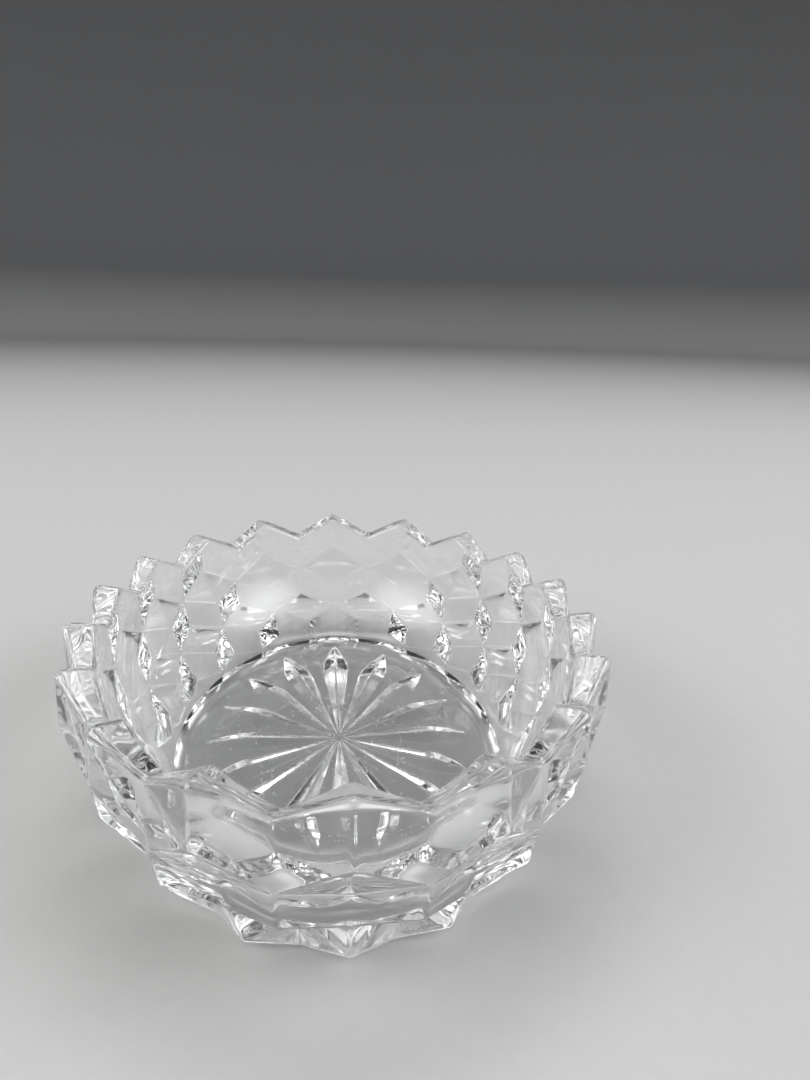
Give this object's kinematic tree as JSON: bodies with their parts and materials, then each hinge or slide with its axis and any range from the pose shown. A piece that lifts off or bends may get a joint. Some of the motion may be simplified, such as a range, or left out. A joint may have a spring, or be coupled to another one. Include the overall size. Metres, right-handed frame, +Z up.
{
  "type": "glass nut dish",
  "caption": "Oval dish of clear pressed glass for nuts or sweets, with a saw-tooth rim, a wall of raised cube facets and a star pressed under the flat base.",
  "frame": {"origin": "middle of the oval, on the table surface under the flat base", "axes": "+Z up, Y along the dish's long axis through a rim tooth at each end, X across it"},
  "size_m": [0.0918, 0.1198, 0.0322],
  "materials": {
    "glass": "fire-polished, colourless"
  },
  "bodies": {
    "root": {"dish": "glass"}
  },
  "joints": []
}
